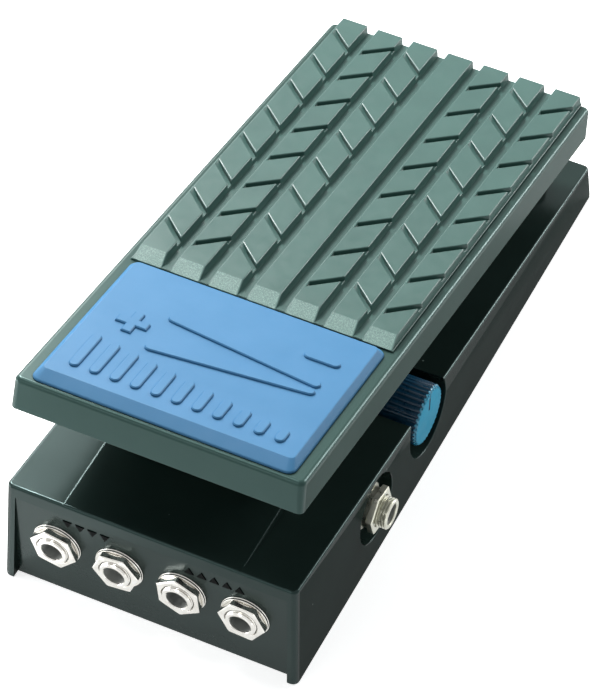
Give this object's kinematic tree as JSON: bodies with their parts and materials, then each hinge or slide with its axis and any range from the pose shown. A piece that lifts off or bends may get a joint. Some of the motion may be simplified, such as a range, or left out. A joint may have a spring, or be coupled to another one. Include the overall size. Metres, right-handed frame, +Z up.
{
  "type": "volume pedal",
  "caption": "Foot volume pedal: ribbed rocking treadle with a blue toe pad on a wedge base, with panel jacks and a side knob for the lowest volume.",
  "frame": {"origin": "middle of the base's footprint, on the ground, under the pivot axle", "axes": "+Z up, +Y along the pedal towards the heel end, +X to the side with the knob; jack panel faces -Y"},
  "size_m": [0.0969, 0.2207, 0.0804],
  "materials": {
    "cast_black": "satin black-green enamel on cast aluminium",
    "cast_grey": "semi-matte grey-green enamel on cast aluminium",
    "mat_rubber": "matt grey-green moulded rubber",
    "pad_blue": "satin blue moulded plastic",
    "knob_blue": "blue moulded plastic",
    "nickel": "bright nickel plate",
    "steel": "brushed steel",
    "zinc": "zinc-plated sheet steel",
    "black_steel": "black oxide spring steel",
    "black_rubber": "matt black rubber",
    "jack_plastic": "black moulded plastic",
    "acetal": "natural acetal",
    "board_green": "green circuit board",
    "pot_metal": "plain aluminium can"
  },
  "bodies": {
    "base": {"base_shell": "cast_black", "bottom_plate": "zinc", "base_pad": "black_rubber", "bottom_screws": "steel", "toe_bumpers": "black_rubber", "heel_bumpers": "black_rubber", "pivot_bushings": "acetal", "front_jack_body_1": "jack_plastic", "front_jack_body_2": "jack_plastic", "front_jack_body_3": "jack_plastic", "front_jack_body_4": "jack_plastic", "front_jack_bushing_1": "nickel", "front_jack_bushing_2": "nickel", "front_jack_bushing_3": "nickel", "front_jack_bushing_4": "nickel", "front_jack_washers": "nickel", "front_jack_nuts": "nickel", "jack_board": "board_green", "side_jack_body": "jack_plastic", "side_jack_bushing": "nickel", "side_jack_washer": "nickel", "side_jack_nut": "nickel", "pot_bracket": "zinc", "bracket_screws": "steel", "main_pot_body": "pot_metal", "main_pot_nut": "nickel", "min_pot_body": "pot_metal", "min_pot_washer": "nickel", "min_pot_nut": "nickel"},
    "treadle": {"treadle": "cast_grey", "tread_mat": "mat_rubber", "toe_pad": "pad_blue", "pivot_axle": "steel", "e_clips": "black_steel", "sector_gear": "acetal", "sector_screws": "steel"},
    "pinion_drive": {"main_pot_shaft": "pot_metal", "pinion": "acetal", "pinion_screw": "black_steel"},
    "min_knob": {"min_pot_shaft": "pot_metal", "min_volume_knob": "knob_blue"}
  },
  "joints": [
    {"name": "treadle_tilt", "type": "hinge", "parent": "base", "child": "treadle", "pos_m": [0, 0, 0.044], "axis": [1, 0, 0], "range_deg": [-6.5, 14]},
    {"name": "pinion_spin", "type": "hinge", "parent": "base", "child": "pinion_drive", "pos_m": [0, -0.05801, 0.02515], "axis": [1, 0, 0], "range_deg": [-129, 60]},
    {"name": "min_knob_turn", "type": "hinge", "parent": "base", "child": "min_knob", "pos_m": [0, -0.0192, 0.02271], "axis": [1, 0, 0], "range_deg": [-150, 150]}
  ],
  "couplings": [
    {"joint": "pinion_spin", "follows": "treadle_tilt", "ratio": -9.1667}
  ]
}
